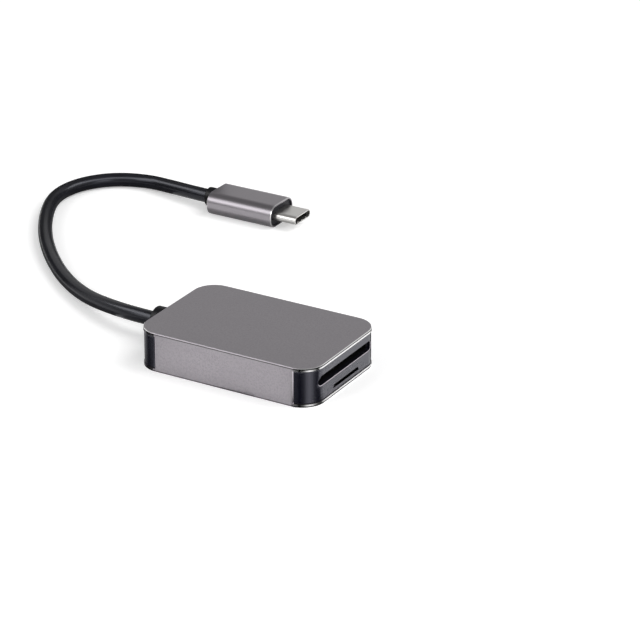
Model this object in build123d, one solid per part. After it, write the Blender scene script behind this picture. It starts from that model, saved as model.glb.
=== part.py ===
"""A USB memory card reader: an aluminium case with two card slots and a short cord to a plug.

Millimetres. +X points out of the card slots, +Z is up, and the origin is the middle of the case's
underside. The cord leaves the other end of the case and lies on the same surface as the case.
"""

import math
import os

from build123d import *

# Case
body_length = 50.8
body_width = 33.7
body_height = 10.45
corner_radius = 5.9
plate_thickness = 0.88
side_wall = 1.2
edge_chamfer = 0.16
wall_edge_chamfer = 0.3
front_window = 5.2
rear_window = 5.9
rail_depth = 0.9
rail_thickness = 0.6

# End caps
cap_inset = 0.15
cap_edge_round = 0.25
cap_clearance = 0.05
front_wall = 1.45
rear_wall = 2.0
rear_pocket_margin = 2.6
tongue_length = 4.0
tongue_thickness = 0.8
tongue_width = 4.5
tongue_spacing = 22.5

# Circuit board, which the case's rails hold by its long edges
board_thickness = 0.8
board_height = 3.28
board_clearance = 0.05
board_end_gap = 0.15

# Socket and slot for the large card
sd_card_width = 24.0
sd_card_thickness = 2.1
sd_card_clearance = 0.2
sd_base = 0.85
sd_socket_length = 24.0
sd_side_clearance = 0.3
sd_back = 1.2
sd_slot_lower_width = 25.6
sd_slot_upper_width = 24.3
sd_slot_height = 2.65
sd_slot_step = 0.55
sd_slot_round = 1.0
sd_slot_rim = 0.15
sd_contact_count = 9
sd_contact_pitch = 2.5
sd_contact_width = 0.9
sd_contact_thickness = 0.2
sd_contact_rise = 0.35
sd_contact_foot = 3.0
sd_contact_crest = 5.3
sd_contact_tip = 6.0
sd_channel_length = 8.0

# Socket and slot for the small card
micro_card_width = 11.0
micro_card_thickness = 0.7
micro_card_clearance = 0.1
micro_base = 0.48
micro_socket_length = 15.0
micro_rail = 1.0
micro_back = 1.0
micro_slot_width = 12.1
micro_slot_height = 0.92
micro_slot_slant = 0.2
micro_contact_count = 8
micro_contact_pitch = 1.1
micro_contact_width = 0.5
micro_contact_thickness = 0.12
micro_contact_rise = 0.25
micro_contact_foot = 2.5
micro_contact_crest = 5.5
micro_contact_tip = 6.5
micro_channel_length = 7.5

# Folded covers of both sockets
cover_sheet = 0.2
fit_gap = 0.05

# Small pieces soldered to the board
controller_size = 7.0
controller_thickness = 0.85
regulator_length = 2.9
regulator_width = 1.6
regulator_thickness = 1.1
crystal_length = 3.2
crystal_width = 2.5
crystal_thickness = 0.75
chip_length = 1.0
chip_width = 0.5
capacitor_thickness = 0.5
resistor_thickness = 0.35
capacitor_count = 6
resistor_count = 5
chip_spacing = 1.6
chip_edge_distance = 6.95
chip_rear_distance = 8.4

# Cord, and the bush that holds it in the case
cord_diameter = 3.9
cord_bore_clearance = 0.05
cord_arc_share = 0.45
bush_collar_diameter = 7.4
bush_collar_length = 4.6
bush_neck_diameter = 5.3
bush_flange_diameter = 7.0
bush_flange_length = 1.0
bush_edge_round = 0.35
cord_tail = 1.1
wire_diameter = 0.7
wire_lift = 0.02
wire_landing = 2.6
wire_bend = 0.6

# Each board wire's place across the cord, its height there and its place across the pads,
# in wire diameters
board_wire_places = [
    (-1.6, -0.8, -1.9),
    (0, -0.8, 0),
    (1.6, -0.8, 1.9),
    (-1.1, 0.9, -3.9),
    (1.1, 0.9, 3.9),
]

# Where the plug and the cord lie
plug_rear_x = -62.1
plug_y = 81.0
floor_clearance = 0.05
exit_straight = 4.5
entry_straight = 2.5

# Plug
sleeve_width = 11.9
sleeve_height = 6.4
sleeve_length = 20.6
sleeve_radius = 2.75
sleeve_wall = 0.45
sleeve_chamfer = 0.15
insert_recess = 0.45
insert_length = 4.5
plug_gap = 0.04
plug_collar_diameter = 5.4
plug_collar_length = 3.0
plug_stopper_length = 2.6
plug_cord_depth = 4.4
can_sheet = 0.2
can_gap = 0.25
can_start = 3.4
paddle_width = 7.4
paddle_start = 5.4
paddle_reach = 2.1
paddle_resistor_count = 4
plug_wire_rise = 0.9

# Metal nose of the plug, a standard size
nose_width = 8.25
nose_height = 2.4
nose_length = 6.7
nose_wall = 0.28
nose_inner_length = 6.2
nose_round = 0.16
insulator_recess = 1.0
tongue_slot_width = 6.9
tongue_slot_height = 0.9
pin_count = 12
pin_pitch = 0.5
pin_width = 0.26
pin_thickness = 0.12
pin_recess = 0.5
latch_thickness = 0.3
latch_arm = 0.35
latch_bar = 1.0
latch_hook = 0.35
spring_sheet = 0.1
spring_width = 5.2
spring_length = 0.9
spring_bump = 0.45
spring_bump_height = 0.3
spring_bump_count = 3

# Places that follow from the sizes
front_x = body_length / 2
rear_x = -body_length / 2
inner_floor = plate_thickness
inner_roof = body_height - plate_thickness
inner_half_width = body_width / 2 - side_wall
wall_front_x = front_x - front_window
wall_rear_x = rear_x + rear_window
cap_tail_x = rear_x + cap_inset
cap_bottom = inner_floor + cap_clearance
cap_top = inner_roof - cap_clearance
cap_height = cap_top - cap_bottom
socket_front_x = front_x - cap_inset - front_wall
board_top = board_height + board_thickness
board_front_x = wall_front_x - board_end_gap
board_rear_x = wall_rear_x + board_end_gap
board_half_width = inner_half_width - board_clearance
sd_floor = board_top + sd_base
sd_roof = sd_floor + sd_card_thickness + sd_card_clearance
sd_inner_half = (sd_card_width + 2 * sd_card_clearance) / 2
sd_outer_half = inner_half_width - rail_depth - sd_side_clearance - cover_sheet
sd_rear_x = socket_front_x - sd_socket_length
micro_roof = board_height - micro_base
micro_floor = micro_roof - micro_card_thickness - micro_card_clearance
micro_inner_half = (micro_card_width + 2 * micro_card_clearance) / 2
micro_outer_half = micro_inner_half + micro_rail
micro_rear_x = socket_front_x - micro_socket_length
chip_x = board_rear_x + chip_rear_distance
chip_y = board_half_width - chip_edge_distance
cord_radius = cord_diameter / 2
exit_height = body_height / 2
rear_inner_x = cap_tail_x + rear_wall
collar_x = cap_tail_x - bush_collar_length
cord_start_x = rear_inner_x + bush_flange_length + cord_tail
cord_rest = cord_radius + floor_clearance
plug_axis = sleeve_height / 2
plug_collar_x = plug_rear_x - plug_collar_length
cord_end_x = plug_rear_x + plug_cord_depth
insert_face = sleeve_length - insert_recess
nose_tip = sleeve_length + nose_length
nose_start = insert_face - nose_inner_length
paddle_end = nose_start + paddle_reach
insulator_face = nose_tip - insulator_recess
paddle_thickness = tongue_slot_height - 2 * pin_thickness
can_end = insert_face - insert_length - fit_gap

# The cord's middle line, from inside the case to inside the plug
cord_route = [
    (cord_start_x, 0, exit_height),
    (collar_x - exit_straight, 0, exit_height),
    (-44.8, 2.5, 4.3),
    (-56.6, 7.7, 2.7),
    (-68.4, 15.4, cord_rest),
    (-79.6, 25.3, cord_rest),
    (-90.0, 37.0, cord_rest),
    (-98.6, 50.0, cord_rest),
    (-104.0, 61.9, cord_rest),
    (-103.2, 72.3, cord_rest),
    (-97.3, 80.6, cord_rest),
    (-87.9, 84.5, cord_rest),
    (-77.9, 82.9, 2.6),
    (plug_collar_x - entry_straight, plug_y, plug_axis),
    (cord_end_x, plug_y, plug_axis),
]


def box(x_range, y_range, z_range):
    """A block between two corners."""
    size = [high - low for low, high in (x_range, y_range, z_range)]
    middle = [(high + low) / 2 for low, high in (x_range, y_range, z_range)]
    return Pos(*middle) * Box(*size)


def across(half, z_range, x_range):
    """A block that is centred across the case."""
    return box(x_range, (-half, half), z_range)


def along_x(outline, x_range):
    """An outline in the YZ plane, drawn out along X."""
    low, high = x_range
    return extrude(Plane.YZ.offset(low) * outline, amount=high - low)


def rod(diameter, x_range, height=0.0):
    """A round bar along X."""
    return along_x(Pos(0, height) * Circle(diameter / 2), x_range)


def strip(path, thickness, width):
    """A bent strip of sheet whose underside follows points in the XZ plane."""
    upper = [(x, z + thickness) for x, z in path]
    outline = Plane.XZ * Polygon(*path, *reversed(upper), align=None)
    return extrude(outline, amount=width / 2, both=True)


def row(piece, count, pitch):
    """Copies of a piece, side by side across the part."""
    return [Pos(0, (i - (count - 1) / 2) * pitch, 0) * piece for i in range(count)]


def group(pieces):
    """Separate solids that share one node."""
    return Compound(children=[Solid(piece.solid().wrapped) for piece in pieces])


def plan(inset):
    """The case's outline seen from above, moved inwards."""
    return RectangleRounded(body_length - 2 * inset, body_width - 2 * inset, corner_radius - inset)


def shell():
    """The extruded case: two plates with rounded corners, and walls cut back at both ends."""
    case = extrude(plan(0), amount=body_height)
    case = chamfer(case.faces().sort_by(Axis.Z)[-1].edges(), edge_chamfer)
    case = chamfer(case.faces().sort_by(Axis.Z)[0].edges(), edge_chamfer)
    inside = (inner_floor, inner_roof)
    case -= across(inner_half_width, inside, (2 * rear_x, 2 * front_x))
    case -= across(body_width, inside, (wall_front_x, 2 * front_x))
    case -= across(body_width, inside, (2 * rear_x, wall_rear_x))
    ends = case.edges().filter_by(Axis.Z)
    ends = ends.filter_by(lambda edge: abs(edge.center().Y) > inner_half_width + fit_gap)
    ends = ends.filter_by(lambda edge: abs(edge.length - inner_roof + inner_floor) < fit_gap)
    case = chamfer(ends, wall_edge_chamfer)
    rail_inner = inner_half_width - rail_depth
    rail_root = inner_half_width + side_wall / 2
    for side in (-1, 1):
        reach = sorted((side * rail_inner, side * rail_root))
        lower = board_height - board_clearance
        upper = board_top + board_clearance
        case += box((wall_rear_x, wall_front_x), reach, (lower - rail_thickness, lower))
        case += box((wall_rear_x, wall_front_x), reach, (upper, upper + rail_thickness))
    return case


def cap_block(x_range):
    """The stretch of an end cap that shows between the two plates."""
    block = Pos(0, 0, cap_bottom) * extrude(plan(cap_inset), amount=cap_height)
    rims = block.faces().sort_by(Axis.Z)
    block = fillet(rims[-1].edges() + rims[0].edges(), cap_edge_round)
    return block & across(body_width, (0, body_height), x_range)


def tongues(x_range):
    """The four tongues that hold a cap inside the case's walls."""
    pieces = []
    for side in (-1, 1):
        low = side * tongue_spacing / 2 - tongue_width / 2
        width = (low, low + tongue_width)
        pieces.append(box(x_range, width, (cap_bottom, cap_bottom + tongue_thickness)))
        pieces.append(box(x_range, width, (cap_top - tongue_thickness, cap_top)))
    return pieces


def sd_slot_outline():
    """The mouth for the large card: a wide rounded lower part and a narrower upper part."""
    lower_height = sd_slot_height - sd_slot_step
    middle = sd_floor + lower_height / 2
    lower = Pos(0, middle) * RectangleRounded(sd_slot_lower_width, lower_height, sd_slot_round)
    upper = Pos(0, sd_floor + sd_slot_height / 2) * Rectangle(
        sd_slot_upper_width - 2 * sd_slot_round, sd_slot_height
    )
    shoulder = Pos(0, middle + sd_slot_step) * RectangleRounded(
        sd_slot_upper_width, lower_height, sd_slot_round / 2
    )
    return lower + upper + shoulder


def sd_slot_lead_in():
    """The shallow rim round the lower part of the large card's mouth, on the cap's curved face."""
    lower_height = sd_slot_height - sd_slot_step
    middle = sd_floor + lower_height / 2
    rim = Pos(0, middle) * RectangleRounded(
        sd_slot_lower_width + 2 * sd_slot_rim,
        lower_height + 2 * sd_slot_rim,
        sd_slot_round + sd_slot_rim,
    )
    cutter = along_x(rim, (wall_front_x, 2 * front_x))
    deeper = Pos(-sd_slot_rim, 0, 0) * cap_block((wall_front_x, front_x))
    return cutter - deeper


def micro_slot_outline():
    """The mouth for the small card, a little wider at its lower edge."""
    low = (micro_floor + micro_roof - micro_slot_height) / 2
    high = low + micro_slot_height
    wide = micro_slot_width / 2 + micro_slot_slant
    narrow = micro_slot_width / 2 - micro_slot_slant
    return Polygon((-wide, low), (wide, low), (narrow, high), (-narrow, high), align=None)


def front_end_cap():
    """The glossy front cap, with both card slots right through it."""
    cap = cap_block((wall_front_x + cap_clearance, front_x))
    for tongue in tongues((wall_front_x - tongue_length, socket_front_x)):
        cap += tongue
    pocket_half = sd_outer_half + cover_sheet + fit_gap
    pocket_floor = micro_floor - cover_sheet - fit_gap
    pocket_roof = sd_roof + cover_sheet + fit_gap
    pocket_reach = (wall_front_x - tongue_length, socket_front_x)
    cap -= across(pocket_half, (pocket_floor, pocket_roof), pocket_reach)
    cap -= along_x(sd_slot_outline(), (wall_front_x, 2 * front_x))
    cap -= sd_slot_lead_in()
    cap -= along_x(micro_slot_outline(), (wall_front_x, 2 * front_x))
    return cap


def rear_end_cap():
    """The glossy rear cap, hollow inside, with a round hole for the cord's bush."""
    cap = cap_block((rear_x, wall_rear_x - cap_clearance))
    reach = bush_flange_diameter / 2 + fit_gap
    pocket = (exit_height - reach, exit_height + reach)
    cap -= across(inner_half_width - rear_pocket_margin, pocket, (rear_inner_x, wall_rear_x))
    for tongue in tongues((wall_rear_x - fit_gap - rear_wall / 2, wall_rear_x + tongue_length)):
        cap += tongue
    return cap - rod(bush_neck_diameter + 2 * fit_gap, (2 * rear_x, rear_inner_x), exit_height)


def circuit_board():
    """The board between the two sockets."""
    return across(board_half_width, (board_height, board_top), (board_rear_x, board_front_x))


def sd_channel(x_range):
    """The gap in the large socket's floor for one contact."""
    half = sd_contact_width / 2 + 2 * fit_gap
    return across(half, (board_top, sd_floor), x_range)


def sd_socket_housing():
    """The large socket's moulded floor, side rails and back."""
    housing = across(sd_outer_half, (board_top, sd_roof), (sd_rear_x, socket_front_x))
    housing -= across(sd_inner_half, (sd_floor, sd_roof), (sd_rear_x + sd_back, socket_front_x))
    reach = (sd_rear_x, sd_rear_x + sd_channel_length)
    for channel in row(sd_channel(reach), sd_contact_count, sd_contact_pitch):
        housing -= channel
    return housing


def sd_contacts():
    """The large socket's spring contacts, soldered to the board behind it."""
    crest = sd_floor + sd_contact_rise - sd_contact_thickness
    path = [
        (sd_rear_x - sd_contact_width, board_top),
        (sd_rear_x + sd_contact_foot, board_top),
        (sd_rear_x + sd_contact_crest, crest),
        (sd_rear_x + sd_contact_tip, crest - sd_contact_thickness),
    ]
    contact = strip(path, sd_contact_thickness, sd_contact_width)
    return group(row(contact, sd_contact_count, sd_contact_pitch))


def folded_cover(half, z_range, x_range, lid_on_top):
    """A sheet cover with a lid and two sides."""
    outer = across(half + cover_sheet, z_range, x_range)
    low, high = z_range
    inside = (low, high - cover_sheet) if lid_on_top else (low + cover_sheet, high)
    return outer - across(half, inside, x_range)


def sd_socket_cover():
    """The large socket's sheet cover."""
    z_range = (board_top, sd_roof + cover_sheet)
    return folded_cover(sd_outer_half, z_range, (sd_rear_x, socket_front_x), True)


def micro_channel(x_range):
    """The gap in the small socket's base for one contact."""
    half = micro_contact_width / 2 + 2 * fit_gap
    return across(half, (micro_roof, board_height), x_range)


def microsd_socket_housing():
    """The small socket's moulded base, side rails and back, under the board."""
    housing = across(micro_outer_half, (micro_floor, board_height), (micro_rear_x, socket_front_x))
    card_reach = (micro_rear_x + micro_back, socket_front_x)
    housing -= across(micro_inner_half, (micro_floor, micro_roof), card_reach)
    reach = (micro_rear_x, micro_rear_x + micro_channel_length)
    for channel in row(micro_channel(reach), micro_contact_count, micro_contact_pitch):
        housing -= channel
    return housing


def microsd_contacts():
    """The small socket's spring contacts, soldered to the underside of the board."""
    top = board_height - micro_contact_thickness
    path = [
        (micro_rear_x - micro_contact_width, top),
        (micro_rear_x + micro_contact_foot, top),
        (micro_rear_x + micro_contact_crest, micro_roof - micro_contact_rise),
        (micro_rear_x + micro_contact_tip, micro_roof - micro_contact_thickness),
    ]
    contact = strip(path, micro_contact_thickness, micro_contact_width)
    return group(row(contact, micro_contact_count, micro_contact_pitch))


def microsd_socket_cover():
    """The small socket's sheet cover."""
    z_range = (micro_floor - cover_sheet, board_height)
    return folded_cover(micro_outer_half, z_range, (micro_rear_x, socket_front_x), False)


def on_board(x, y, size):
    """A block that is soldered to the top of the board, given its length, width and height."""
    length, width, height = size
    x_range = (x - length / 2, x + length / 2)
    y_range = (y - width / 2, y + width / 2)
    return box(x_range, y_range, (board_top, board_top + height))


def controller_chip():
    """The reader's control chip."""
    return on_board(chip_x, chip_y, (controller_size, controller_size, controller_thickness))


def regulator_chip():
    """The supply regulator."""
    return on_board(chip_x, -chip_y, (regulator_length, regulator_width, regulator_thickness))


def crystal():
    """The clock crystal's can."""
    return on_board(chip_x, 0, (crystal_length, crystal_width, crystal_thickness))


def chips(x, y, count, thickness):
    """A row of small two-ended chips."""
    chip = on_board(x, y, (chip_length, chip_width, thickness))
    return group(row(chip, count, chip_spacing))


def capacitors():
    """Capacitors beside the regulator."""
    x = chip_x + regulator_length / 2 + 2 * chip_length
    return chips(x, -chip_y, capacitor_count, capacitor_thickness)


def resistors():
    """Resistors on the regulator's other side."""
    x = chip_x - regulator_length / 2 - 2 * chip_length
    return chips(x, -chip_y, resistor_count, resistor_thickness)


def wire(points):
    """One insulated wire through its points."""
    path = FilletPolyline(*points, radius=wire_bend)
    return sweep(Plane(origin=path @ 0, z_dir=path % 0) * Circle(wire_diameter / 2), path=path)


def board_wires():
    """The cord's wires, from the end of its jacket to the board behind the crystal."""
    landing = board_top + wire_diameter / 2 + wire_lift
    bend_x = cord_start_x + (board_rear_x - cord_start_x) / 2
    pad_x = board_rear_x + wire_diameter
    far_x = pad_x + wire_landing
    pieces = []
    for offset, height, spread in board_wire_places:
        y = offset * wire_diameter
        z = exit_height + height * wire_diameter
        pad_y = spread * wire_diameter
        in_cord = [(cord_start_x, y, z), (bend_x, y, z)]
        on_pad = [(pad_x, pad_y, landing), (far_x, pad_y, landing)]
        pieces.append(wire(in_cord + on_pad))
    return group(pieces)


def rear_strain_relief():
    """The bush that holds the cord in the rear cap: collar outside, flange inside."""
    collar = rod(bush_collar_diameter, (collar_x, cap_tail_x), exit_height)
    collar = fillet(collar.faces().sort_by(Axis.X)[0].edges(), bush_edge_round)
    bush = collar + rod(bush_neck_diameter, (cap_tail_x, rear_inner_x), exit_height)
    bush += rod(bush_flange_diameter, (rear_inner_x, rear_inner_x + bush_flange_length), exit_height)
    bore = cord_diameter + 2 * cord_bore_clearance
    return bush - rod(bore, (2 * rear_x, 0), exit_height)


def cord_path():
    """Straight runs joined by arcs that are as large as the runs allow."""
    points = [Vector(*point) for point in cord_route]
    runs = [after - before for before, after in zip(points, points[1:])]
    radii = []
    for run, after in zip(runs, runs[1:]):
        half_turn = math.radians(run.get_angle(after)) / 2
        radii.append(cord_arc_share * min(run.length, after.length) / math.tan(half_turn))
    print("cord radii", [round(radius, 1) for radius in radii])
    return FilletPolyline(*points, radius=radii)


def cable():
    """The cord, from inside the case to inside the plug."""
    path = cord_path()
    tube = sweep(Plane(origin=path @ 0, z_dir=path % 0) * Circle(cord_radius), path=path)
    expected = math.pi * cord_radius**2 * path.length
    print("cord length", round(path.length, 1))
    print("cord volume", round(tube.volume, 2), "section times length", round(expected, 2))
    return tube


def sleeve_outline(inset):
    """The plug sleeve's section, moved inwards."""
    return RectangleRounded(sleeve_width - 2 * inset, sleeve_height - 2 * inset, sleeve_radius - inset)


def nose_outline(inset):
    """The metal nose's section, moved inwards."""
    return SlotOverall(nose_width - 2 * inset, nose_height - 2 * inset)


def plug_sleeve():
    """The aluminium sleeve, open at both ends."""
    sleeve = along_x(sleeve_outline(0), (0, sleeve_length))
    ends = sleeve.faces().sort_by(Axis.X)
    sleeve = chamfer(ends[0].edges() + ends[-1].edges(), sleeve_chamfer)
    return sleeve - along_x(sleeve_outline(sleeve_wall), (-1, sleeve_length + 1))


def plug_insert():
    """The moulding that fills the front of the sleeve round the metal nose."""
    reach = (insert_face - insert_length, insert_face)
    insert = along_x(sleeve_outline(sleeve_wall + plug_gap), reach)
    return insert - along_x(nose_outline(-plug_gap), (0, sleeve_length))


def plug_strain_relief():
    """The bush that closes the rear of the sleeve and holds the cord."""
    bush = rod(plug_collar_diameter, (-plug_collar_length, insert_recess))
    bush = fillet(bush.faces().sort_by(Axis.X)[0].edges(), bush_edge_round)
    reach = (insert_recess, insert_recess + plug_stopper_length)
    bush += along_x(sleeve_outline(sleeve_wall + plug_gap), reach)
    return bush - rod(cord_diameter + 2 * cord_bore_clearance, (-sleeve_length, sleeve_length))


def plug_shield_can():
    """The folded can round the plug's small board, closed at both ends round the nose and the cord."""
    outer = sleeve_wall + can_gap
    can = along_x(sleeve_outline(outer), (can_start, can_end))
    can -= along_x(sleeve_outline(outer + can_sheet), (can_start + can_sheet, can_end - can_sheet))
    can -= along_x(nose_outline(-plug_gap), (can_end - 2 * can_sheet, sleeve_length))
    return can - rod(cord_diameter + 2 * cord_bore_clearance, (0, can_start + 2 * can_sheet))


def paddle_card():
    """The plug's small board, narrower where it goes between the contact rows."""
    half_thickness = paddle_thickness / 2
    z_range = (-half_thickness, half_thickness)
    wide = across(paddle_width / 2, z_range, (paddle_start, nose_start - fit_gap))
    narrow = tongue_slot_width / 2 - fit_gap
    return wide + across(narrow, z_range, (nose_start - 2 * fit_gap, paddle_end))


def paddle_resistors():
    """Resistors on the plug's small board."""
    x = (paddle_start + nose_start) / 2 + chip_length
    z_range = (paddle_thickness / 2, paddle_thickness / 2 + resistor_thickness)
    chip = across(chip_width / 2, z_range, (x - chip_length / 2, x + chip_length / 2))
    return group(row(chip, paddle_resistor_count, chip_spacing))


def plug_wires():
    """The cord's wires on both faces of the plug's small board."""
    start = plug_cord_depth
    landing = paddle_thickness / 2 + wire_diameter / 2 + wire_lift
    pieces = []
    for side in (-1, 1):
        for face in (-1, 1):
            y = side * wire_diameter
            z = face * plug_wire_rise
            pad = (paddle_start + wire_diameter, 2 * y, face * landing)
            far = (paddle_start + wire_diameter + wire_landing, 2 * y, face * landing)
            pieces.append(wire([(start, y, z), (start + wire_bend, y, z), pad, far]))
    return group(pieces)


def usb_c_shell():
    """The plug's metal nose."""
    nose = along_x(nose_outline(0), (nose_start, nose_tip))
    nose = fillet(nose.faces().sort_by(Axis.X)[-1].edges(), nose_round)
    return nose - along_x(nose_outline(nose_wall), (0, 2 * nose_tip))


def usb_c_insulator():
    """The moulding inside the nose, with the slot that takes a socket's tongue."""
    core = along_x(nose_outline(nose_wall + plug_gap / 2), (nose_start, insulator_face))
    half = tongue_slot_height / 2
    return core - across(tongue_slot_width / 2, (-half, half), (0, 2 * nose_tip))


def usb_c_contacts():
    """Two rows of contacts along the slot's upper and lower faces."""
    face = tongue_slot_height / 2
    x_range = (nose_start - 2 * pin_recess, insulator_face - pin_recess)
    pieces = []
    for z_range in ((-face, -face + pin_thickness), (face - pin_thickness, face)):
        pieces += row(across(pin_width / 2, z_range, x_range), pin_count, pin_pitch)
    return group(pieces)


def usb_c_latch():
    """The sprung fork between the contact rows."""
    half = tongue_slot_width / 2 - fit_gap
    inner = half - latch_arm
    z_range = (-latch_thickness / 2, latch_thickness / 2)
    rear = paddle_end + fit_gap
    tip = insulator_face - pin_recess
    fork = across(half, z_range, (rear, tip)) - across(inner, z_range, (rear + latch_bar, tip))
    for side in (-1, 1):
        hook = sorted((side * (inner - latch_hook), side * (inner + latch_arm / 2)))
        fork += box((tip - latch_hook, tip), hook, z_range)
    return fork


def usb_c_ground_springs():
    """Thin springs on the nose's upper and lower inner faces, with bumps that show in its mouth."""
    face = nose_height / 2 - nose_wall
    start = insulator_face + fit_gap
    x_range = (start, start + spring_length)
    bump_start = start + (spring_length - spring_bump) / 2
    bump_x = (bump_start, bump_start + spring_bump)
    pieces = []
    for side in (-1, 1):
        sheet = sorted((side * face, side * (face - spring_sheet)))
        bump = sorted((side * face, side * (face - spring_bump_height)))
        spring = across(spring_width / 2, sheet, x_range)
        pitch = (spring_width - 2 * spring_bump) / (spring_bump_count - 1)
        for piece in row(across(spring_bump / 2, bump, bump_x), spring_bump_count, pitch):
            spring += piece
        pieces.append(spring)
    return group(pieces)


case_nodes = [
    shell,
    front_end_cap,
    rear_end_cap,
    circuit_board,
    sd_socket_housing,
    sd_socket_cover,
    sd_contacts,
    microsd_socket_housing,
    microsd_socket_cover,
    microsd_contacts,
    controller_chip,
    regulator_chip,
    crystal,
    capacitors,
    resistors,
    board_wires,
    rear_strain_relief,
    cable,
]
plug_nodes = [
    plug_strain_relief,
    plug_sleeve,
    plug_insert,
    plug_shield_can,
    paddle_card,
    paddle_resistors,
    plug_wires,
    usb_c_shell,
    usb_c_insulator,
    usb_c_contacts,
    usb_c_latch,
    usb_c_ground_springs,
]

os.makedirs("parts", exist_ok=True)
for make in case_nodes:
    export_step(make(), f"parts/{make.__name__}.step")
plug_place = Pos(plug_rear_x, plug_y, plug_axis)
for make in plug_nodes:
    export_step(plug_place * make(), f"parts/{make.__name__}.step")
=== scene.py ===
"""The look of a USB memory card reader with a short cord, round its CAD frame.

Metres. +X points out of the card slots, +Z is up, and the origin is the middle of the case's
underside, which stands on the floor.
"""

import math

import bpy
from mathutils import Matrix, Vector


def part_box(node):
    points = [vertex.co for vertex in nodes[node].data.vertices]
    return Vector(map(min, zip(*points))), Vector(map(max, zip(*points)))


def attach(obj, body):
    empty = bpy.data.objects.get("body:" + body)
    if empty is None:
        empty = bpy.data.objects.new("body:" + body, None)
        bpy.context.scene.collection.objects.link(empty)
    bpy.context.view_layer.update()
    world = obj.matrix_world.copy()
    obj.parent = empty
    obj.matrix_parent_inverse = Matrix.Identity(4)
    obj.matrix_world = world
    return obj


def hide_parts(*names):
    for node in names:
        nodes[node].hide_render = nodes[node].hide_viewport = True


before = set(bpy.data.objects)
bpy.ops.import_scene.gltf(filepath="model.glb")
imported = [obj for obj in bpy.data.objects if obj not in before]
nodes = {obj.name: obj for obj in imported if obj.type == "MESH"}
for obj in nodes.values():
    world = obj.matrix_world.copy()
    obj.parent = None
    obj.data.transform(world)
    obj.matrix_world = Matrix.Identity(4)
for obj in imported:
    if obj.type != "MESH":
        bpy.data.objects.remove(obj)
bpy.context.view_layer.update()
scene = bpy.context.scene
scene.view_settings.view_transform = "Standard"

MILLIMETRE = 0.001

# Camera, solved from the case's edges in a picture of 640 by 634 pixels
EYE = (0.3641, -0.5944, 0.3278)
YAW = -0.527433
PITCH = 0.424579
FOCAL_PIXELS = 3100
IMAGE_WIDTH = 640
SENSOR_WIDTH = 36.0

# Cord: the route of the part's source, in metres
CORD_DIAMETER = 0.0039
CORD_ROUTE = [
    (-0.02115, 0, 0.005225),
    (-0.03435, 0, 0.005225),
    (-0.0448, 0.0025, 0.0043),
    (-0.0566, 0.0077, 0.0027),
    (-0.0684, 0.0154, 0.0020),
    (-0.0796, 0.0253, 0.0020),
    (-0.0900, 0.0370, 0.0020),
    (-0.0986, 0.0500, 0.0020),
    (-0.1040, 0.0619, 0.0020),
    (-0.1032, 0.0723, 0.0020),
    (-0.0973, 0.0806, 0.0020),
    (-0.0879, 0.0845, 0.0020),
    (-0.0779, 0.0829, 0.0026),
    (-0.0676, 0.0810, 0.0032),
    (-0.0577, 0.0810, 0.0032),
]


def make_camera():
    """A camera at the photograph's viewing angle."""
    camera = bpy.data.objects.new("camera", bpy.data.cameras.new("camera"))
    scene.collection.objects.link(camera)
    forward = Vector(
        (
            math.sin(YAW) * math.cos(PITCH),
            math.cos(YAW) * math.cos(PITCH),
            -math.sin(PITCH),
        )
    )
    camera.location = EYE
    camera.rotation_mode = "QUATERNION"
    camera.rotation_quaternion = forward.to_track_quat("-Z", "Y")
    camera.data.sensor_fit = "HORIZONTAL"
    camera.data.sensor_width = SENSOR_WIDTH
    camera.data.lens = FOCAL_PIXELS * SENSOR_WIDTH / IMAGE_WIDTH
    camera.data.clip_start = 0.01
    camera.data.clip_end = 50
    scene.camera = camera


def make_cord():
    """The cord, as one smooth line through the route's control points."""
    curve = bpy.data.curves.new("cord", "CURVE")
    curve.dimensions = "3D"
    curve.resolution_u = 24
    curve.bevel_depth = 1.0
    curve.bevel_resolution = 10
    curve.use_fill_caps = True
    spline = curve.splines.new("NURBS")
    spline.points.add(len(CORD_ROUTE) - 1)
    for point, place in zip(spline.points, CORD_ROUTE):
        point.co = (*place, 1)
        point.radius = CORD_DIAMETER / 2
    spline.order_u = 3
    spline.use_endpoint_u = True
    cord = bpy.data.objects.new("cord", curve)
    scene.collection.objects.link(cord)
    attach(cord, "root")
    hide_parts("cable")
    return cord


make_camera()
cord = make_cord()


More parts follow.
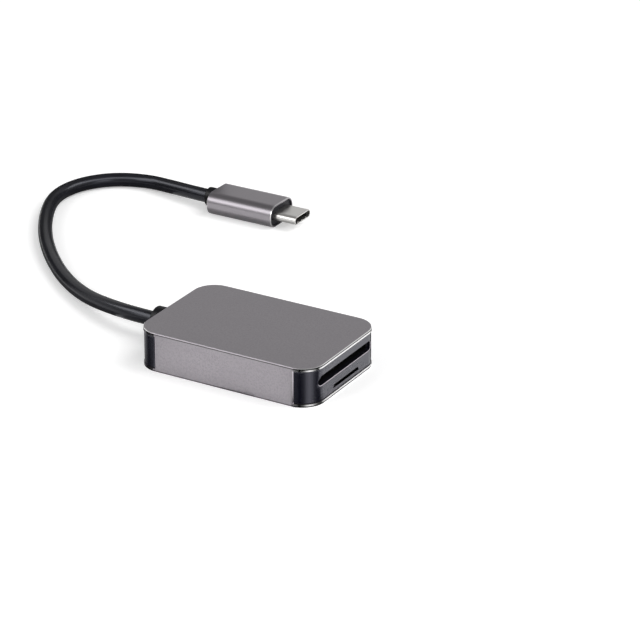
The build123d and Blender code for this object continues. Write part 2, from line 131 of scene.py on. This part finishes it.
class Graph:
    """Short calls that build one material's nodes."""

    def __init__(self, name):
        self.material = bpy.data.materials.new(name)
        self.material.use_nodes = True
        self.tree = self.material.node_tree
        self.shader = self.tree.nodes["Principled BSDF"]
        self.place = self.add("ShaderNodeTexCoord").outputs["Object"]

    def add(self, kind, **settings):
        """A new node with the given settings."""
        node = self.tree.nodes.new(kind)
        for key, value in settings.items():
            setattr(node, key, value)
        return node

    def feed(self, socket, value):
        """Links a node's output to a socket, or sets the socket to a plain value."""
        if isinstance(value, bpy.types.NodeSocket):
            self.tree.links.new(value, socket)
        else:
            socket.default_value = value

    def constant(self, **sockets):
        """Values that are the same all over the surface, set on the shader itself."""
        for name, value in sockets.items():
            self.shader.inputs[name.replace("_", " ")].default_value = value

    def use(self, **sockets):
        """Links values that vary over the surface."""
        for name, value in sockets.items():
            self.feed(self.shader.inputs[name.replace("_", " ")], value)

    def math(self, operation, a, b=0.0):
        node = self.add("ShaderNodeMath", operation=operation)
        self.feed(node.inputs[0], a)
        self.feed(node.inputs[1], b)
        return node.outputs[0]

    def axes(self, vector):
        """A vector's three parts."""
        node = self.add("ShaderNodeSeparateXYZ")
        self.feed(node.inputs[0], vector)
        return node.outputs

    def normal(self):
        """The surface's own direction, as three parts."""
        return self.axes(self.add("ShaderNodeNewGeometry").outputs["Normal"])

    def ramp(self, value, low, high, start=0.0, end=1.0):
        """A value that goes smoothly from start to end as the input goes from low to high."""
        node = self.add("ShaderNodeMapRange", interpolation_type="SMOOTHSTEP")
        for socket, number in zip(node.inputs, (value, low, high, start, end)):
            self.feed(socket, number)
        return node.outputs[0]

    def between(self, value, low, high, soft):
        """1 where the value lies between two limits, with soft edges."""
        rising = self.ramp(value, low - soft, low + soft)
        falling = self.ramp(value, high - soft, high + soft, 1, 0)
        return self.math("MULTIPLY", rising, falling)

    def noise(self, size, detail=2.0, stretch=(1, 1, 1)):
        """Grain whose blobs are about the given size."""
        stretched = self.add("ShaderNodeVectorMath", operation="MULTIPLY")
        self.feed(stretched.inputs[0], self.place)
        stretched.inputs[1].default_value = stretch
        node = self.add("ShaderNodeTexNoise")
        self.feed(node.inputs["Vector"], stretched.outputs[0])
        node.inputs["Scale"].default_value = 1 / size
        node.inputs["Detail"].default_value = detail
        return node.outputs["Fac"]

    def mix(self, factor, a, b):
        """A colour between two others."""
        node = self.add("ShaderNodeMix", data_type="RGBA")
        self.feed(node.inputs["Factor"], factor)
        self.feed(node.inputs["A"], a)
        self.feed(node.inputs["B"], b)
        return node.outputs["Result"]

    def bump(self, height, depth, strength=1.0):
        """Relief on the surface, of the given depth."""
        node = self.add("ShaderNodeBump")
        node.inputs["Strength"].default_value = strength
        node.inputs["Distance"].default_value = depth
        self.feed(node.inputs["Height"], height)
        self.feed(self.shader.inputs["Normal"], node.outputs["Normal"])


def grey(level, tint=(1, 1, 1)):
    """An opaque colour from a level and a tint."""
    return (*(level * part for part in tint), 1)


def scaled(colour, factor):
    """A lighter or darker copy of a colour."""
    return (*(min(1, part * factor) for part in colour[:3]), 1)


# Places on the case that the materials follow
FRONT_WINDOW = 5.2 * MILLIMETRE
REAR_WINDOW = 5.9 * MILLIMETRE
EDGE_CHAMFER = 0.16 * MILLIMETRE
# Width of the painted shade line below each chamfer
SHADE_LINE_WIDTH = 0.29 * MILLIMETRE
CORNER_RADIUS = 5.9 * MILLIMETRE
CAP_INSET = 0.15 * MILLIMETRE
CAP_RADIUS = CORNER_RADIUS - CAP_INSET
SLOT_RIM = 0.15 * MILLIMETRE
SLOT_FLOOR = 4.93 * MILLIMETRE
PLATE = 0.88 * MILLIMETRE
# Depth of the painted shadow on the caps under the top plate
GAP_SHADOW_DEPTH = 0.22 * MILLIMETRE
shell_low, shell_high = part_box("shell")
wall_front_x = shell_high.x - FRONT_WINDOW
wall_rear_x = shell_low.x + REAR_WINDOW
corner_x = shell_high.x - CORNER_RADIUS
corner_y = shell_high.y - CORNER_RADIUS

# Tints
ANODISED = (1.015, 0.952, 1.02)
CUT_EDGE = (1, 0.99, 0.99)
COOL_BLACK = (0.88, 0.90, 1.22)
DEEP_BLUE = (0.75, 0.78, 1.6)
SOOT = (1, 1, 1.05)
SLATE = (0.95, 0.95, 1.25)
CERAMIC = (1, 0.95, 0.88)
WIRE_RED = (1.2, 0.6, 0.5)
STEEL = (1, 0.99, 0.97)
GOLD = (1.0, 0.76, 0.33)
NICKEL = (1, 0.985, 0.96)
MASK_GREEN = (0.25, 1, 0.45)
TRACK_GREEN = (0.3, 1, 0.45)
CAP_SHINE = (0.87, 0.86, 0.99)
JACKET_SHINE = (0.88, 0.9, 1)

ALUMINIUM = grey(0.31, ANODISED)
FINE_GRAIN = 0.12 * MILLIMETRE
ALONG_X = (0.1, 1, 1)
ALONG_X_BY_FOUR = (1, 4, 1)


def case_aluminium():
    """Blasted and anodised sheet with bright cut edges; painted shade below each chamfer, on the rear lips
    and on the side chamfers, and a painted highlight on the rear wall ends.
    """
    g = Graph("case_aluminium")
    x, _, z = g.axes(g.place)
    normal_x, normal_y, normal_z = g.normal()

    # Faces, told apart by the way they look and by where they lie
    upright = g.math("ABSOLUTE", normal_z)
    chamfer = g.between(upright, 0.35, 0.93, 0.03)
    side = g.math("LESS_THAN", upright, 0.3)
    in_front = g.math("GREATER_THAN", x, wall_front_x)
    behind = g.math("LESS_THAN", x, wall_rear_x)
    lip = g.math("MULTIPLY", g.math("MAXIMUM", in_front, behind), side)
    wall_end = g.ramp(g.math("ABSOLUTE", normal_x), 0.45, 0.6)
    rear_end = g.ramp(normal_x, -0.6, -0.45, 1, 0)
    side_cut = g.ramp(g.math("ABSOLUTE", normal_y), 0.63, 0.70)
    depth = g.math("MINIMUM", z, g.math("SUBTRACT", shell_high.z, z))
    # A painted shade line below each chamfer; the solid has no groove there
    painted_shade_line = g.between(depth, EDGE_CHAMFER, EDGE_CHAMFER + SHADE_LINE_WIDTH, 0.01 * MILLIMETRE)
    painted_shade_line = g.math("MULTIPLY", painted_shade_line, side)

    # Colour
    fine = g.noise(0.14 * MILLIMETRE, detail=3)
    coarse = g.noise(0.5 * MILLIMETRE, detail=3)
    cloud = g.noise(9 * MILLIMETRE)
    blasted = g.mix(g.ramp(fine, 0.3, 0.7), scaled(ALUMINIUM, 0.78), scaled(ALUMINIUM, 1.12))
    blasted = g.mix(g.ramp(coarse, 0.35, 0.65, 0, 0.6), blasted, scaled(ALUMINIUM, 1.14))
    blasted = g.mix(g.ramp(cloud, 0.3, 0.7, 0, 0.3), blasted, scaled(ALUMINIUM, 0.95))
    colour = g.mix(wall_end, blasted, grey(0.7, ANODISED))
    # The wall ends are bright cut metal; the rear ends are painted lighter still, as a painted highlight
    colour = g.mix(rear_end, colour, grey(0.9, ANODISED))
    # Cut chamfers are bright bare metal; the side chamfers get a darker copy, as painted shade
    cut_edge_shaded_on_sides = g.mix(side_cut, grey(1.0), grey(0.58, ANODISED))
    colour = g.mix(chamfer, colour, cut_edge_shaded_on_sides)
    # The lips are bright polished metal; the rear lips get a dark copy of it, as painted shade
    lip_colour_with_rear_shade = g.mix(behind, grey(0.88, CUT_EDGE), grey(0.25, ANODISED))
    colour = g.mix(lip, colour, lip_colour_with_rear_shade)
    # Colour of the painted shade line, darker on the lips
    shade_line_colour = g.mix(lip, grey(0.11, ANODISED), grey(0.03, ANODISED))
    g.use(Base_Color=g.mix(painted_shade_line, colour, shade_line_colour))

    # Roughness: the cut edges and lips are smoother than the blasted faces
    rough = g.ramp(fine, 0.2, 0.8, 0.28, 0.38)
    polish = g.math("SUBTRACT", 0.14, g.math("MULTIPLY", side_cut, 0.24))
    rough = g.math("SUBTRACT", rough, g.math("MULTIPLY", chamfer, polish))
    rough = g.math("SUBTRACT", rough, g.math("MULTIPLY", lip, 0.24))
    g.use(Roughness=g.math("MAXIMUM", rough, g.math("MULTIPLY", rear_end, 0.7)))
    g.bump(coarse, 0.010 * MILLIMETRE, 0.5)
    g.constant(Metallic=1.0)
    return g.material


def sleeve_aluminium():
    """The plug sleeve's finer blasted finish, with a bright rim."""
    g = Graph("sleeve_aluminium")
    rim = g.between(g.math("ABSOLUTE", g.normal()["X"]), 0.4, 0.9, 0.05)
    fine = g.noise(0.10 * MILLIMETRE, detail=3)
    cloud = g.noise(5 * MILLIMETRE)
    blasted = g.mix(g.ramp(fine, 0.3, 0.7), scaled(ALUMINIUM, 0.9), scaled(ALUMINIUM, 1.08))
    blasted = g.mix(g.ramp(cloud, 0.3, 0.7, 0, 0.3), blasted, scaled(ALUMINIUM, 0.94))
    g.use(Base_Color=g.mix(rim, blasted, grey(0.7)))
    rough = g.ramp(fine, 0.2, 0.8, 0.30, 0.38)
    g.use(Roughness=g.math("ADD", rough, g.math("MULTIPLY", rim, -0.18)))
    g.bump(fine, 0.003 * MILLIMETRE, 0.4)
    g.constant(Metallic=1.0)
    return g.material


def cap_face(g, y):
    """Where the front cap's face lies along X, which rounds back towards the case's sides."""
    past = g.math("MAXIMUM", g.math("SUBTRACT", g.math("ABSOLUTE", y), corner_y), 0)
    across = g.math("MULTIPLY", past, past)
    back = g.math("SQRT", g.math("MAXIMUM", g.math("SUBTRACT", CAP_RADIUS**2, across), 0))
    return g.math("ADD", back, corner_x)


def gloss_black_plastic():
    """The end caps' glossy moulding, with painted shade inside the slots and under the case's top plate,
    painted light on the large slot's floor and a painted highlight on its rim.
    """
    g = Graph("gloss_black_plastic")
    x, y, z = g.axes(g.place)
    normal_x, normal_y, normal_z = g.normal()

    # Painted shade in the slots, a painted highlight on the large slot's rim and a painted shadow under
    # the case's top plate
    # Faces that look up or down, the slots' floors and roofs, get painted shade: black that reflects
    # almost nothing
    facing = g.math("MAXIMUM", g.math("ABSOLUTE", normal_x), g.math("ABSOLUTE", normal_y))
    painted_shade = g.ramp(facing, 0.2, 0.4, 1, 0)
    # A painted highlight on the shallow step round the large slot's mouth
    sunk = g.math("SUBTRACT", cap_face(g, y), x)
    shallow = g.between(sunk, 0.5 * SLOT_RIM, 1.3 * SLOT_RIM, 0.02 * MILLIMETRE)
    by_slot = g.math("GREATER_THAN", z, SLOT_FLOOR - 2 * SLOT_RIM)
    rim = g.math("MULTIPLY", shallow, by_slot)
    painted_shade = g.math("MULTIPLY", painted_shade, g.math("SUBTRACT", 1, rim))
    # A painted shadow along the caps' top, under the top plate's lip
    painted_gap_shadow = g.math("GREATER_THAN", z, shell_high.z - PLATE - GAP_SHADOW_DEPTH)
    painted_shade = g.math("MAXIMUM", painted_shade, painted_gap_shadow)

    fine = g.noise(0.3 * MILLIMETRE)
    cloud = g.noise(6 * MILLIMETRE)
    moulded = g.mix(cloud, grey(0.004, DEEP_BLUE), grey(0.007, DEEP_BLUE))
    # The large slot's rim is painted pale grey, as a painted highlight
    moulded = g.mix(rim, moulded, grey(0.60, ANODISED))
    # Painted light on the upward faces at the large slot's height, its floor
    painted_floor_light = g.math("MULTIPLY", g.ramp(normal_z, 0.3, 0.6), by_slot)
    painted_shade_colour = g.mix(painted_floor_light, grey(0.004, COOL_BLACK), grey(0.05, COOL_BLACK))
    g.use(Base_Color=g.mix(painted_shade, moulded, painted_shade_colour))
    g.use(Metallic=painted_shade)
    rough = g.ramp(fine, 0.2, 0.8, 0.12, 0.18)
    g.use(Roughness=g.math("MAXIMUM", rough, g.math("MULTIPLY", painted_shade, 0.6)))
    g.bump(fine, 0.001 * MILLIMETRE, 0.3)
    g.constant(IOR=1.9, Specular_Tint=grey(1.0, CAP_SHINE))
    return g.material


def plastic(name, level, tint, roughness, grain, shine=0.5):
    """A moulded plastic with a light grain."""
    g = Graph(name)
    fine = g.noise(grain, detail=3)
    cloud = g.noise(4 * MILLIMETRE)
    colour = grey(level, tint)
    varied = g.mix(g.ramp(fine, 0.3, 0.7), scaled(colour, 0.8), scaled(colour, 1.2))
    g.use(Base_Color=g.mix(g.ramp(cloud, 0.3, 0.7, 0, 0.4), varied, scaled(colour, 0.85)))
    g.use(Roughness=g.ramp(fine, 0.2, 0.8, roughness - 0.06, roughness + 0.06))
    g.bump(fine, 0.006 * MILLIMETRE, 0.4)
    g.constant(IOR=1.5, Specular_IOR_Level=shine)
    return g.material


def metal(name, level, tint, roughness, grain=FINE_GRAIN):
    """A rolled or plated metal with fine lines along X."""
    g = Graph(name)
    lines = g.noise(grain, detail=3, stretch=ALONG_X)
    cloud = g.noise(2 * MILLIMETRE)
    colour = grey(level, tint)
    varied = g.mix(g.ramp(lines, 0.3, 0.7), scaled(colour, 0.95), scaled(colour, 1.04))
    g.use(Base_Color=g.mix(g.ramp(cloud, 0.3, 0.7, 0, 0.4), varied, scaled(colour, 0.93)))
    g.use(Roughness=g.ramp(lines, 0.2, 0.8, roughness - 0.03, roughness + 0.04))
    g.bump(lines, 0.0006 * MILLIMETRE, 0.3)
    g.constant(Metallic=1.0)
    return g.material


def circuit_board():
    """Solder mask over copper tracks."""
    g = Graph("circuit_board")
    weave = g.noise(0.25 * MILLIMETRE, stretch=ALONG_X_BY_FOUR)
    tracks = g.add("ShaderNodeTexBrick")
    tracks.inputs["Scale"].default_value = 1 / (6 * MILLIMETRE)
    g.feed(tracks.inputs["Vector"], g.place)
    tracks.inputs["Color1"].default_value = grey(0.05, MASK_GREEN)
    tracks.inputs["Color2"].default_value = grey(0.06, MASK_GREEN)
    tracks.inputs["Mortar"].default_value = grey(0.1, TRACK_GREEN)
    woven = g.ramp(weave, 0.3, 0.7, 0, 0.4)
    g.use(Base_Color=g.mix(woven, tracks.outputs["Color"], grey(0.035, MASK_GREEN)))
    g.use(Roughness=g.ramp(weave, 0.2, 0.8, 0.3, 0.42))
    g.bump(weave, 0.01 * MILLIMETRE, 0.4)
    return g.material


def cord_jacket():
    """Satin black jacket, very slightly uneven along its length."""
    g = Graph("cord_jacket")
    fine = g.noise(0.15 * MILLIMETRE, detail=3)
    cloud = g.noise(4 * MILLIMETRE)
    dark = grey(0.007, COOL_BLACK)
    light = grey(0.011, COOL_BLACK)
    g.use(Base_Color=g.mix(g.ramp(cloud, 0.3, 0.7), dark, light))
    g.use(Roughness=g.ramp(fine, 0.2, 0.8, 0.20, 0.28))
    g.bump(fine, 0.003 * MILLIMETRE, 0.3)
    g.constant(IOR=1.5, Specular_IOR_Level=0.25, Specular_Tint=grey(1.0, JACKET_SHINE))
    return g.material


FINISHES = {
    "case_aluminium": case_aluminium(),
    "sleeve_aluminium": sleeve_aluminium(),
    "gloss_black_plastic": gloss_black_plastic(),
    "black_moulding": plastic("black_moulding", 0.005, SOOT, 0.5, FINE_GRAIN, 0.2),
    "slate_plastic": plastic("slate_plastic", 0.014, SLATE, 0.42, FINE_GRAIN, 0.2),
    "circuit_board": circuit_board(),
    "stainless_sheet": metal("stainless_sheet", 0.55, STEEL, 0.3),
    "gold_contact": metal("gold_contact", 0.75, GOLD, 0.25),
    "chip_ceramic": plastic("chip_ceramic", 0.05, CERAMIC, 0.55, 0.08 * MILLIMETRE),
    "wire_insulation": plastic("wire_insulation", 0.12, WIRE_RED, 0.45, 0.15 * MILLIMETRE),
    "cord_jacket": cord_jacket(),
    "bush_rubber": plastic("bush_rubber", 0.004, COOL_BLACK, 0.38, FINE_GRAIN, 0.12),
    "nickel_nose": metal("nickel_nose", 0.72, NICKEL, 0.32, 0.04 * MILLIMETRE),
}

# Each node's own material slot names its finish
for node in nodes.values():
    slot = node.data.materials[0].name
    node.data.materials[0] = FINISHES[slot.split(".")[0]]
cord.data.materials.append(FINISHES["cord_jacket"])


# Floor
FLOOR_HALF = 6.0
FLOOR_COLOUR = 0.95
FLOOR_GLOW = 0.31

# Sky: its light low down and overhead, and the heights between which it changes
SKY_HORIZON = 0.70
SKY_TOP = 0.26
SKY_FADE_START = 0.35
SKY_FADE_END = 0.80

# Round sheets of black cardboard on the floor, beside three corners of the case, seen only in glossy
# surfaces, where they paint dark reflections on the corners
CARD_RADIUS = 28 * MILLIMETRE
CARD_SIDES = 48
CARD_HEIGHT = 0.1 * MILLIMETRE

# How dark each cardboard is, by the angle in degrees from the way it faces
NEAR_STOPS = [
    (-69, 0),
    (-63, 0.82),
    (-50, 0.90),
    (-31, 1),
    (-15, 0.92),
    (-8, 0.80),
    (5, 0.40),
    (17, 0.20),
    (31, 0.42),
    (40, 0.75),
    (53, 0.95),
    (66, 0.95),
    (76, 0.45),
    (90, 0),
]
LEFT_STOPS = [
    (-60, 0.45),
    (-14, 0.60),
    (6, 0.80),
    (12, 0.90),
    (22, 0.97),
    (34, 0.93),
    (48, 0.84),
    (55, 0.90),
    (62, 0),
]
FAR_STOPS = [(-38, 0), (-22, 0.9), (40, 0.9), (60, 0)]

# Each cardboard's name, its middle in millimetres, the way it faces in degrees and its darkness
CARDS = [
    ("near_card", (20.94, -13.44), -45, NEAR_STOPS),
    ("left_card", (-19.3, -15.5), 174, LEFT_STOPS),
    ("far_card", (24.5, 12.0), 110, FAR_STOPS),
]

# Black mats along the cord and under the plug, seen only in glossy surfaces, where they paint dark
# reflections on the lower sides of the cord and plug; the plug's with its corners in millimetres
MAT_HEIGHT = 0.2 * MILLIMETRE
CORD_MAT_HALF = 8 * MILLIMETRE
CORD_MAT_SHADE = 0.85
PLUG_MAT = [(-66, 71.5), (-30, 71.5), (-30, 81), (-66, 81)]
PLUG_MAT_SHADE = 0.58

# A low black fence round the outside of the cord's bend, seen only in glossy surfaces, where it paints a
# dark reflection on the cord
FENCE_FIRST_POINT = 3
FENCE_OFFSET = 20 * MILLIMETRE
FENCE_HEIGHT = 22 * MILLIMETRE
FENCE_SHADE = 0.9

# Softboxes in a ring round an axis, at an angle from it in degrees
RING_AXIS = (-0.117, 0.202, 0.972)
RING_SPREAD = 48
RING_LAMPS = 16
RING_DISTANCE = 1.2
RING_LAMP_WIDTH = 0.37
RING_LAMP_HEIGHT = 0.50
RING_RADIANCE = 5.0

# The ring is open behind the cord's far bend
RING_GAP = Vector((-0.5, 0.866, 0))
RING_GAP_EDGE = 0.35


def make_sheet(name, corners, material):
    """A flat piece of the studio, which isn't part of the object."""
    mesh = bpy.data.meshes.new(name)
    mesh.from_pydata(corners, [], [range(len(corners))])
    mesh.materials.append(material)
    sheet = bpy.data.objects.new(name, mesh)
    scene.collection.objects.link(sheet)
    return sheet


def only_glossy(thing):
    """Lets a studio piece show in glossy surfaces alone, so that it throws no light or shadow."""
    thing.visible_camera = False
    thing.visible_diffuse = False
    thing.visible_transmission = False
    thing.visible_shadow = False


def floor_paint():
    """Matt white, a little lighter where it is seen than where it only lights the object."""
    g = Graph("floor_paint")
    g.constant(Base_Color=grey(FLOOR_COLOUR), Roughness=1.0, Emission_Color=grey(1.0))
    g.constant(Specular_IOR_Level=0.0)
    path = g.add("ShaderNodeLightPath").outputs
    seen = g.math("MAXIMUM", path["Is Camera Ray"], path["Is Glossy Ray"])
    seen = g.math("MAXIMUM", seen, path["Is Transmission Ray"])
    g.use(Emission_Strength=g.math("MULTIPLY", seen, FLOOR_GLOW))
    return g.material


def make_floor():
    """A pale floor that carries on behind the object as its background."""
    h = FLOOR_HALF
    make_sheet("floor", [(-h, -h, 0), (h, -h, 0), (h, h, 0), (-h, h, 0)], floor_paint())


def black_paint(name, stops):
    """Black that fades away by the direction from the sheet's middle, given as angle and darkness."""
    g = Graph(name)
    x, y, _ = g.axes(g.place)
    turn = g.math("ADD", g.math("DIVIDE", g.math("ARCTAN2", y, x), 2 * math.pi), 0.5)
    shade = g.add("ShaderNodeValToRGB")
    g.feed(shade.inputs[0], turn)
    shade.color_ramp.interpolation = "EASE"
    points = shade.color_ramp.elements
    while len(points) < len(stops):
        points.new(1.0)
    for point, (angle, darkness) in zip(points, stops):
        point.position = 0.5 + angle / 360
        point.color = grey(darkness)
    g.use(Alpha=shade.outputs["Color"])
    g.constant(Base_Color=grey(0.005), Roughness=1.0, Specular_IOR_Level=0.0)
    return g.material


def even_black_paint(name, shade):
    """Black of the same darkness in every direction."""
    return black_paint(name, [(-180, shade), (180, shade)])


def make_card(name, centre, facing, stops):
    """A round sheet of cardboard beside a corner of the case, seen only in glossy surfaces and darker in
    some directions, which paints dark reflections on that corner.
    """
    spokes = [2 * math.pi * i / CARD_SIDES for i in range(CARD_SIDES)]
    rim = [(CARD_RADIUS * math.cos(a), CARD_RADIUS * math.sin(a), 0) for a in spokes]
    card = make_sheet(name, rim, black_paint(name, stops))
    card.location = (centre[0] * MILLIMETRE, centre[1] * MILLIMETRE, CARD_HEIGHT)
    card.rotation_euler.z = math.radians(facing)
    only_glossy(card)


def make_mat(name, outline, shade):
    """A black mat on the floor, given its corners and how dark it is."""
    corners = [(x, y, MAT_HEIGHT) for x, y in outline]
    only_glossy(make_sheet(name, corners, even_black_paint(name, shade)))


def along_cord(offset):
    """Points on the floor beside the cord."""
    places = [Vector(place[:2]) for place in CORD_ROUTE[1:-1]]
    beside = []
    for before, place, after in zip(places, places[1:], places[2:]):
        ahead = (after - before).normalized()
        beside.append(place + offset * Vector((-ahead.y, ahead.x)))
    return beside


def make_fence(name, foot, shade):
    """A low black fence on the floor, given the line of its foot and how dark it is."""
    paint = even_black_paint(name, shade)
    for i, (start, end) in enumerate(zip(foot, foot[1:])):
        corners = [(*start, 0), (*end, 0), (*end, FENCE_HEIGHT), (*start, FENCE_HEIGHT)]
        only_glossy(make_sheet("%s_%d" % (name, i), corners, paint))


def make_sky():
    """Soft light from all round, dimmer overhead."""
    world = bpy.data.worlds.new("studio")
    scene.world = world
    world.use_nodes = True
    tree = world.node_tree
    background = tree.nodes["Background"]
    direction = tree.nodes.new("ShaderNodeTexCoord").outputs["Generated"]
    parts = tree.nodes.new("ShaderNodeSeparateXYZ")
    tree.links.new(direction, parts.inputs[0])
    height = tree.nodes.new("ShaderNodeMapRange")
    height.interpolation_type = "SMOOTHSTEP"
    height.inputs["From Min"].default_value = SKY_FADE_START
    height.inputs["From Max"].default_value = SKY_FADE_END
    height.inputs["To Min"].default_value = SKY_HORIZON
    height.inputs["To Max"].default_value = SKY_TOP
    tree.links.new(parts.outputs["Z"], height.inputs["Value"])
    tree.links.new(height.outputs[0], background.inputs["Strength"])
    background.inputs["Color"].default_value = (1, 1, 1, 1)


def make_lamp(name, direction, distance, width, height, radiance):
    """A softbox that faces the object, given how bright its face is."""
    lamp = bpy.data.lights.new(name, "AREA")
    lamp.shape = "RECTANGLE"
    lamp.size = width
    lamp.size_y = height
    lamp.energy = radiance * width * height * math.pi
    softbox = bpy.data.objects.new(name, lamp)
    scene.collection.objects.link(softbox)
    away = Vector(direction).normalized()
    softbox.location = away * distance
    softbox.rotation_mode = "QUATERNION"
    softbox.rotation_quaternion = (-away).to_track_quat("-Z", "Y")
    return softbox


def make_ring(pieces):
    """Softboxes in an open ring over the object, which draw a line of shine along these pieces alone."""
    receivers = bpy.data.collections.new("ring_receivers")
    for piece in pieces:
        receivers.objects.link(piece)
    turn = Vector((0, 0, 1)).rotation_difference(Vector(RING_AXIS))
    spread = math.radians(RING_SPREAD)
    across = math.sin(spread)
    along = math.cos(spread)
    for i in range(RING_LAMPS):
        angle = 2 * math.pi * i / RING_LAMPS
        direction = turn @ Vector((across * math.cos(angle), across * math.sin(angle), along))
        if direction.dot(RING_GAP) > RING_GAP_EDGE:
            continue
        size = (RING_LAMP_WIDTH, RING_LAMP_HEIGHT)
        lamp = make_lamp("ring_%d" % i, direction, RING_DISTANCE, *size, RING_RADIANCE)
        only_glossy(lamp)
        lamp.light_linking.receiver_collection = receivers


make_floor()
for name, centre, facing, stops in CARDS:
    make_card(name, centre, facing, stops)
make_mat("cord_mat", along_cord(CORD_MAT_HALF) + along_cord(-CORD_MAT_HALF)[::-1], CORD_MAT_SHADE)
make_fence("cord_fence", along_cord(FENCE_OFFSET)[FENCE_FIRST_POINT:], FENCE_SHADE)
make_mat("plug_mat", [(x * MILLIMETRE, y * MILLIMETRE) for x, y in PLUG_MAT], PLUG_MAT_SHADE)
make_sky()
make_lamp("key_softbox", (-0.46, -0.71, 0.53), distance=1.2, width=0.7, height=0.7, radiance=2.8)
make_lamp("right_softbox", (0.86, -0.48, 0.35), distance=1.2, width=0.6, height=0.5, radiance=3.5)
overhead = make_lamp("high_softbox", (0.55, 0.25, 0.80), distance=1.3, width=0.8, height=0.8, radiance=3.5)
overhead.visible_glossy = False
make_ring([cord, nodes["rear_strain_relief"], nodes["plug_strain_relief"]])
